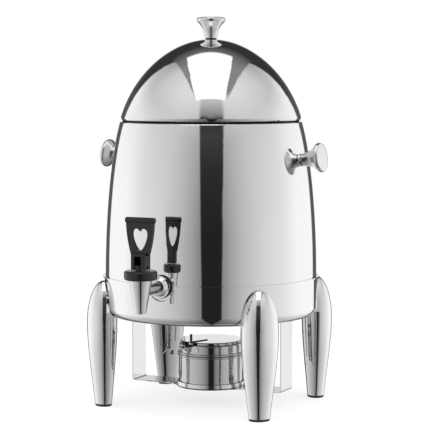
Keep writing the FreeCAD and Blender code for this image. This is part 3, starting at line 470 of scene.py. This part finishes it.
def fastener_tree(recessed):
    """Geometry nodes that set a domed head on a shank at each point, along its aim."""
    net, inputs = new_tree("fastener", SIZES)
    (points, head_radius, head_height, dome, shank_radius, shank_length, width, length, depth,
     finish) = inputs
    skirt = head_height - dome
    head = net.add("GeometryNodeMeshCylinder", None,
                   {"Vertices": 32, "Fill Segments": 5, "Radius": head_radius, "Depth": skirt})
    spot = net.add("GeometryNodeInputPosition")
    level = net.add("ShaderNodeVectorMath", {"operation": "MULTIPLY"}, (spot, (1.0, 1.0, 0.0)))
    reach = net.add("ShaderNodeVectorMath", {"operation": "LENGTH"}, (level,), 1) / head_radius
    rise = (1.0 - reach * reach) * dome * net.part(spot, 2).maths("GREATER_THAN", 0.0)
    lift = net.add("ShaderNodeCombineXYZ", None, {"Z": rise - head_height * 0.5 - dome * 0.5})
    head = net.add("GeometryNodeSetPosition", None, {"Geometry": head, "Offset": lift})
    if recessed:
        arms = []
        for across in (False, True):
            size = net.add("ShaderNodeCombineXYZ", None,
                           {"X": width if across else length, "Y": length if across else width,
                            "Z": depth * 2.0})
            arms.append(net.add("GeometryNodeMeshCube", None, {"Size": size}))
        head = net.add("GeometryNodeMeshBoolean", {"operation": "DIFFERENCE", "solver": "EXACT"},
                       {0: head, 1: arms})
    shank = net.add("GeometryNodeMeshCylinder", None,
                    {"Vertices": 24, "Radius": shank_radius, "Depth": shank_length})
    drop = net.add("ShaderNodeCombineXYZ", None,
                   {"Z": (head_height + shank_length * 0.5) * -1.0})
    shank = net.add("GeometryNodeTransform", None, {"Geometry": shank, "Translation": drop})
    whole = net.add("GeometryNodeJoinGeometry", None, {"Geometry": [head, shank]})
    aim = net.add("GeometryNodeInputNamedAttribute", {"data_type": "FLOAT_VECTOR"},
                  {"Name": "aim"})
    turn = net.add("FunctionNodeAlignRotationToVector", {"axis": "Z"}, {"Vector": aim})
    spread = net.add("GeometryNodeInputNamedAttribute", {"data_type": "FLOAT_VECTOR"},
                     {"Name": "spread"})
    placed = net.add("GeometryNodeInstanceOnPoints", None,
                     {"Points": points, "Instance": whole, "Rotation": turn, "Scale": spread})
    return end_tree(net, placed, finish)


def loose_solids(node):
    """Corner points of each separate solid of a CAD node."""
    shape = bmesh.new()
    shape.from_mesh(NODES[node].data)
    bmesh.ops.remove_doubles(shape, verts=shape.verts, dist=0.000001)
    waiting = set(shape.verts)
    solids = []
    while waiting:
        reached = [waiting.pop()]
        corners = []
        while reached:
            corner = reached.pop()
            corners.append(corner.co.copy())
            for edge in corner.link_edges:
                other = edge.other_vert(corner)
                if other in waiting:
                    waiting.remove(other)
                    reached.append(other)
        solids.append(corners)
    shape.free()
    return solids


def ends_along(corners, axis):
    """Both ends of a turned solid: (centre point, direction out of it, radius), widest first."""
    low = [min(corner[i] for corner in corners) for i in range(3)]
    high = [max(corner[i] for corner in corners) for i in range(3)]
    middle = (Vector(low) + Vector(high)) / 2.0
    reaches = [(corner - middle).dot(axis) for corner in corners]
    ends = []
    for sign in (-1.0, 1.0):
        far = max(sign * reach for reach in reaches)
        rim = [corner for corner, reach in zip(corners, reaches) if sign * reach > far - RIM_DEPTH]
        centre = middle + axis * sign * far
        ends.append((centre, axis * sign, max((corner - centre).length for corner in rim)))
    return sorted(ends, key=lambda end: -end[2])


def grown(name, mesh, tree, settings):
    """Piece with the plain mesh that a node tree makes. settings gives its inputs by name."""
    piece = bpy.data.objects.new(name, mesh)
    bpy.context.scene.collection.objects.link(piece)
    modifier = piece.modifiers.new("shape", "NODES")
    modifier.node_group = tree
    given = {item.name: item.identifier for item in tree.interface.items_tree
             if item.in_out == "INPUT"}
    for label, value in settings.items():
        modifier[given[label]] = value
    evaluated = piece.evaluated_get(bpy.context.evaluated_depsgraph_get())
    piece.data = bpy.data.meshes.new_from_object(evaluated)
    piece.data.name = name
    piece.modifiers.remove(modifier)
    return piece


def coil_tree():
    """Geometry nodes that wind round wire into an upright coil."""
    sizes = ("Turns", "Coil radius", "Height", "Wire radius")
    net, (_, turns, radius, height, wire, finish) = new_tree("coil", sizes)
    path = net.add("GeometryNodeCurveSpiral", None,
                   {"Resolution": 32, "Rotations": turns, "Start Radius": radius,
                    "End Radius": radius, "Height": height})
    ring = net.add("GeometryNodeCurvePrimitiveCircle", None, {"Resolution": 12, "Radius": wire})
    coil = net.add("GeometryNodeCurveToMesh", None,
                   {"Curve": path, "Profile Curve": ring, "Fill Caps": True})
    return end_tree(net, coil, finish)


def make_spring(material, wire, turns):
    """The tap's coil spring, in place of the CAD node."""
    low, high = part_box("tap_spring")
    middle = (low + high) / 2.0
    spring = grown("coil_spring", bpy.data.meshes.new("coil_spring"), coil_tree(),
                   {"Turns": turns, "Coil radius": (high.x - low.x) / 2.0 - wire,
                    "Height": high.z - low.z - wire * 2.0, "Wire radius": wire,
                    "Material": material})
    spring.data.transform(Matrix.Translation((middle.x, middle.y, low.z + wire)))
    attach(spring, "stand")
    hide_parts("tap_spring")
    lift = next(joint for joint in frame["record"]["behaviour"]["joints"]
                if joint["name"] == "tap_stem_lift")
    fixed = lift["deforming_nodes"][0]["fixed_end_z_m"]
    length = fixed - low.z
    (length - lift["range_m"][1]) / length
    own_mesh(spring)


def make_fasteners(name, node, material, tree, places, sizes):
    """One plain mesh of like screws or rivets in place of a CAD node. A place is the top of a
    head, the direction that it faces, and its scale."""
    mesh = bpy.data.meshes.new(name)
    mesh.from_pydata([place for place, aim, spread in places], [], [])
    for label, column in (("aim", 1), ("spread", 2)):
        values = mesh.attributes.new(label, "FLOAT_VECTOR", "POINT").data
        for value, place in zip(values, places):
            value.vector = place[column]
    piece = grown(name, mesh, tree, {**dict(zip(SIZES, sizes)), "Material": material})
    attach(piece, "stand")
    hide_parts(node)


# Stage

def studio_direction(net, azimuth):
    """Direction of a ray as right, front and up, with front towards the camera."""
    direction = net.add("ShaderNodeTexCoord", output="Generated")
    east = net.part(direction, 0)
    north = net.part(direction, 1)
    right = east * math.cos(azimuth) + north * math.sin(azimuth)
    front = east * math.sin(azimuth) - north * math.cos(azimuth)
    return right, front, net.part(direction, 2)


def studio_light(net, azimuth):
    """Brightness of the studio seen from the urn: side screens round both sides with a dark slot
    between them in front, a box overhead with a dark gap along it, and a dark rear."""
    right, front, up = studio_direction(net, azimuth)
    aside = right.maths("ABSOLUTE")
    turn = aside.maths("ARCTAN2", front) / math.pi
    light = turn.ramp(*SCREENS[0][1])
    for (low, _), (high, stops) in zip(SCREENS, SCREENS[1:]):
        light = up.slide(low, high).mix(light, turn.ramp(*stops))
    light = light * up.slide(-0.2, -0.9).mix(1.0, 0.35)
    rear = (turn + up.maths("MAXIMUM", 0.0) * 0.08).step(*REAR_TURN)
    light = rear.mix(light, up.step(0.1, 0.4).mix(0.10, 0.035))
    height = up.maths("MAXIMUM", 0.001)
    lean = right / height
    ahead = front / height
    above = up.step(*HORIZON)
    edge = GAP_HALF_SLOPE - ahead.slide(-0.8, 0.6).mix(-0.8, 0.6) * GAP_TAPER
    gap = (edge - (lean - GAP_SHIFT).maths("ABSOLUTE")).step(-0.02, 0.02) * above
    gap = gap * (1.0 - ahead.step(*GAP_FRONT))
    light = gap.mix(light, ahead.slide(-0.9, -0.1).mix(0.035, 0.26))
    behind = turn.step(*BEHIND_TURN) * (1.0 - up.step(0.15, 0.35)) * up.step(-0.35, -0.15)
    light = behind.mix(light, BEHIND_BRIGHTNESS)
    width = SLOT_HALF_WIDTH + up * SLOT_WIDENING
    reach = front * width - (right - SLOT_SHIFT).maths("ABSOLUTE")
    blur = up.slide(0.35, 0.6)
    slot = reach.step(blur.mix(-0.02, -0.06), blur.mix(0.012, 0.03))
    light = slot.mix(light, up.ramp(*SLOT))
    box = (BOX_HALF_SLOPE - (lean + BOX_SHIFT).maths("ABSOLUTE")).step(-0.012, 0.012) * above
    box = box * ahead.step(*BOX_REAR) * (1.0 - ahead.step(*BOX_FRONT))
    return box.mix(light, BOX_BRIGHTNESS)


def make_world(studio):
    world = bpy.data.worlds.new("studio")
    world.use_nodes = True
    bpy.context.scene.world = world
    net = Net(world.node_tree)
    light = studio_light(net, studio.camera_azimuth)
    path = net.add("ShaderNodeLightPath", output="Is Camera Ray")
    soft = net.add("ShaderNodeLightPath", output="Is Diffuse Ray")
    strength = path.mix(light * (1.0 + soft * 0.35), 1.0)
    background = net.add("ShaderNodeBackground", None,
                         {"Color": (1.0, 1.0, 1.0, 1.0), "Strength": strength})
    net.add("ShaderNodeOutputWorld", None, (background,))


def make_floor(studio):
    """Plain pale disc that fades out, so no horizon shows."""
    mesh = bpy.data.meshes.new("floor")
    shape = bmesh.new()
    bmesh.ops.create_circle(shape, cap_ends=True, segments=96, radius=studio.floor_radius,
                            matrix=Matrix.Translation((0.0, AXIS_Y, 0.0)))
    shape.to_mesh(mesh)
    shape.free()
    floor = bpy.data.objects.new("floor", mesh)
    bpy.context.scene.collection.objects.link(floor)
    material, net = new_material("pale_floor")
    spot = net.place((1.0, 1.0, 0.0), (0.0, AXIS_Y, 0.0))
    reach = net.add("ShaderNodeVectorMath", {"operation": "LENGTH"}, (spot,), 1)
    speckle = net.noise(net.place(), 300.0, 2.0)
    plain = net.add("ShaderNodeBsdfDiffuse", None,
                    {"Color": net.blend(speckle, (0.38, 0.38, 0.38, 1.0), (0.40, 0.40, 0.40, 1.0))})
    glow = net.add("ShaderNodeEmission", None, {"Strength": FLOOR_GLOW})
    lit = net.add("ShaderNodeAddShader", None, (plain, glow))
    pale = net.add("ShaderNodeBsdfDiffuse", None, {"Color": (0.85, 0.85, 0.85, 1.0)})
    camera_ray = net.add("ShaderNodeLightPath", output="Is Camera Ray")
    surface = net.add("ShaderNodeMixShader", None, (camera_ray, pale, lit))
    clear = net.add("ShaderNodeBsdfTransparent")
    mirrored = net.add("ShaderNodeLightPath", output="Is Glossy Ray")
    fade = reach.step(studio.floor_radius * 0.7, studio.floor_radius * 0.98)
    fade = fade.maths("MAXIMUM", mirrored)
    net.add("ShaderNodeOutputMaterial", None,
            (net.add("ShaderNodeMixShader", None, (fade, surface, clear)),))
    mesh.materials.append(material)


def make_camera(studio):
    turn = studio.camera_azimuth
    back = Vector((math.sin(turn), -math.cos(turn), 0.0)) * studio.camera_distance
    eye = Vector((0.0, AXIS_Y, studio.camera_height)) + back
    aim = Vector((0.0, AXIS_Y, studio.aim_height))
    camera = bpy.data.objects.new("camera", bpy.data.cameras.new("camera"))
    camera.location = eye
    camera.rotation_euler = (aim - eye).to_track_quat("-Z", "Y").to_euler()
    camera.data.lens = studio.lens
    camera.data.sensor_width = 36.0
    camera.data.shift_x = studio.side_shift
    camera.data.clip_start = 0.05
    bpy.context.scene.collection.objects.link(camera)
    bpy.context.scene.camera = camera


class URN_OT_stage(bpy.types.Operator):
    """Camera, pale floor and soft studio light"""
    bl_idname = "urn.stage"
    bl_label = "Studio"

    def execute(self, context):
        studio = context.scene.urn_studio
        make_camera(studio)
        make_world(studio)
        make_floor(studio)
        context.scene.view_settings.view_transform = "Standard"
        return {"FINISHED"}


class URN_OT_vessel(bpy.types.Operator):
    """Polish of the vessel, the base ring and the lid"""
    bl_idname = "urn.vessel"
    bl_label = "Vessel, ring and lid"

    def execute(self, context):
        finishes = context.scene.urn_finishes
        # The seam between vessel and lid gets a near-black band: painted shade.
        steel = polished_steel("mirror_steel", finishes, finishes.mirror, (0.0, AXIS_Y, 0.0),
                               seam=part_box("urn_body")[1].z)
        dress(steel, "urn_body", "base_ring", "lid_dome")
        return {"FINISHED"}


class URN_OT_knobs(bpy.types.Operator):
    """Turned satin of the lid's knob and the two side knobs, with their washers"""
    bl_idname = "urn.knobs"
    bl_label = "Knobs"

    def execute(self, context):
        finishes = context.scene.urn_finishes
        knobs = ("lid_knob", "handle_knob_right", "handle_knob_left")
        washers = ("lid_knob_washer", "handle_washer_right", "handle_washer_left")
        for knob, washer in zip(knobs, washers):
            head = sum(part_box(knob), Vector()) / 2.0
            foot = sum(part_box(washer), Vector()) / 2.0
            axis = (head - foot).normalized()
            dress(turned_satin("satin_" + knob, finishes, foot, axis), knob)
        dress(matt_rubber("washer_rubber", finishes.rubber), *washers)
        return {"FINISHED"}


class URN_OT_legs(bpy.types.Operator):
    """Polished legs and their rubber foot caps"""
    bl_idname = "urn.legs"
    bl_label = "Legs"

    def execute(self, context):
        finishes = context.scene.urn_finishes
        for name in LEG_NAMES:
            low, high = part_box("foot_cap_" + name)
            # The inner halves take a darker colour: painted shade.
            for half, colour in (("outer_", finishes.mirror), ("inner_", finishes.inner_leg_painted_shade)):
                steel = polished_steel("leg_steel_" + half + name, finishes, colour,
                                       (low + high) / 2.0, LEG_WAVE)
                dress(steel, "leg_" + half + name)
        dress(matt_rubber("foot_rubber", finishes.rubber),
              *["foot_cap_" + name for name in LEG_NAMES])
        return {"FINISHED"}


class URN_OT_burner(bpy.types.Operator):
    """Sheet-metal finishes of the burner and its bracket"""
    bl_idname = "urn.burner"
    bl_label = "Burner"

    def execute(self, context):
        finishes = context.scene.urn_finishes
        dress(sheet_steel("burner_steel", finishes.burner, 0.10, (1.0, 1.0, 40.0)),
              "fuel_cup", "cup_collar")
        # The cover's sides and underside turn near black: painted shade.
        dress(sheet_steel("cover_steel", finishes.plain, 0.05, (1.0, 20.0, 1.0), 0.000002,
                          painted_shade_unless_up), "snuffer_cover")
        # The bracket's lowest rim near the axis turns near black: painted shade.
        dress(sheet_steel("bracket_steel", finishes.plain, 0.12, (20.0, 1.0, 1.0),
                          dark=painted_shade_at_foot("burner_bracket", 0.0016, 0.052)),
              "burner_bracket")
        dress(sheet_steel("fastener_steel", finishes.plain, 0.2),
              "leg_cover_screws", "leg_ring_screws", "bracket_rivets", "collar_rivet",
              "snuffer_pin", "lid_knob_screw", "handle_screw_right", "handle_screw_left",
              "tap_stem_pin", "tap_stem")
        return {"FINISHED"}


class URN_OT_fasteners(bpy.types.Operator):
    """Cross-recessed screws of the legs and domed rivets of the bracket"""
    bl_idname = "urn.fasteners"
    bl_label = "Screws and rivets"

    def execute(self, context):
        finishes = context.scene.urn_finishes
        shapes = context.scene.urn_fasteners
        steel = sheet_steel("screw_steel", finishes.plain, 0.16, (1.0, 1.0, 30.0))
        recessed = fastener_tree(True)
        for name, node, (head, height, shank) in (
                ("cover_screws", "leg_cover_screws", COVER_SCREW),
                ("ring_screws", "leg_ring_screws", RING_SCREW)):
            places = []
            lengths = []
            for corners in loose_solids(node):
                middle = sum(corners, Vector()) / len(corners)
                axis = Vector((middle.x, middle.y - AXIS_Y, 0.0)).normalized()
                (top, aim, _), (tail, _, _) = ends_along(corners, axis)
                places.append((top, aim, WHOLE))
                lengths.append((top - tail).length)
            sizes = (head, height, height * shapes.dome_share, shank, lengths[-1] - height,
                     shapes.recess_width, head * 2.0 * shapes.recess_reach, shapes.recess_depth)
            make_fasteners(name, node, steel, recessed, places, sizes)
        places = []
        lengths = []
        narrow = Vector((RIVET_TAIL_SHARE, RIVET_TAIL_SHARE, 1.0))
        for corners in loose_solids("bracket_rivets"):
            (top, aim, _), (tail, tail_aim, _) = ends_along(corners, Vector((0.0, 0.0, 1.0)))
            places += [(top, aim, WHOLE), (tail, tail_aim, narrow)]
            lengths.append((top - tail).length)
        head, height, shank = RIVET
        sizes = (head, height, RIVET_DOME, shank, lengths[-1] / 2.0 - height, 0.0, 0.0, 0.0)
        make_fasteners("tab_rivets", "bracket_rivets", steel, fastener_tree(False), places,
                       sizes)
        return {"FINISHED"}


class URN_OT_tap(bpy.types.Operator):
    """Chrome, plastic and rubber of the tap"""
    bl_idname = "urn.tap"
    bl_label = "Tap"

    def execute(self, context):
        finishes = context.scene.urn_finishes
        dress(sheet_steel("tap_chrome", finishes.chrome, 0.05), "tap_body", "tap_lock_nut")
        dress(moulded_plastic("black_plastic", finishes.plastic), "tap_bonnet", "tap_lever",
              "tap_lever_pin")
        dress(matt_rubber("gasket_rubber", finishes.rubber), "tap_wall_washer",
              "tap_inner_gasket")
        dress(matt_rubber("seat_silicone", finishes.silicone, 0.5), "tap_seat_plug")
        shapes = context.scene.urn_fasteners
        make_spring(sheet_steel("spring_steel", finishes.plain, 0.25), shapes.spring_wire,
                    shapes.spring_turns)
        return {"FINISHED"}


class URN_PT_panel(bpy.types.Panel):
    """Buttons for the urn's pieces and its studio"""
    bl_idname = "URN_PT_panel"
    bl_label = "Coffee Urn"
    bl_space_type = "VIEW_3D"
    bl_region_type = "UI"
    bl_category = "Coffee Urn"

    def draw(self, context):
        for operator in OPERATORS:
            self.layout.operator(operator.bl_idname)
        for group in (context.scene.urn_finishes, context.scene.urn_fasteners,
                      context.scene.urn_studio):
            column = self.layout.column()
            for name in group.bl_rna.properties.keys()[2:]:
                column.prop(group, name)


OPERATORS = (URN_OT_stage, URN_OT_vessel, URN_OT_knobs, URN_OT_legs, URN_OT_burner,
             URN_OT_fasteners, URN_OT_tap)
GROUPS = (UrnFinishes, UrnFasteners, UrnStudio)


def register():
    for item in GROUPS + OPERATORS + (URN_PT_panel,):
        bpy.utils.register_class(item)
    bpy.types.Scene.urn_finishes = PointerProperty(type=UrnFinishes)
    bpy.types.Scene.urn_fasteners = PointerProperty(type=UrnFasteners)
    bpy.types.Scene.urn_studio = PointerProperty(type=UrnStudio)


def unregister():
    del bpy.types.Scene.urn_finishes
    del bpy.types.Scene.urn_fasteners
    del bpy.types.Scene.urn_studio
    for item in reversed(GROUPS + OPERATORS + (URN_PT_panel,)):
        bpy.utils.unregister_class(item)


def main():
    register()
    bpy.ops.urn.stage()
    bpy.ops.urn.vessel()
    bpy.ops.urn.knobs()
    bpy.ops.urn.legs()
    bpy.ops.urn.burner()
    bpy.ops.urn.fasteners()
    bpy.ops.urn.tap()


if __name__ == "__main__":
    main()
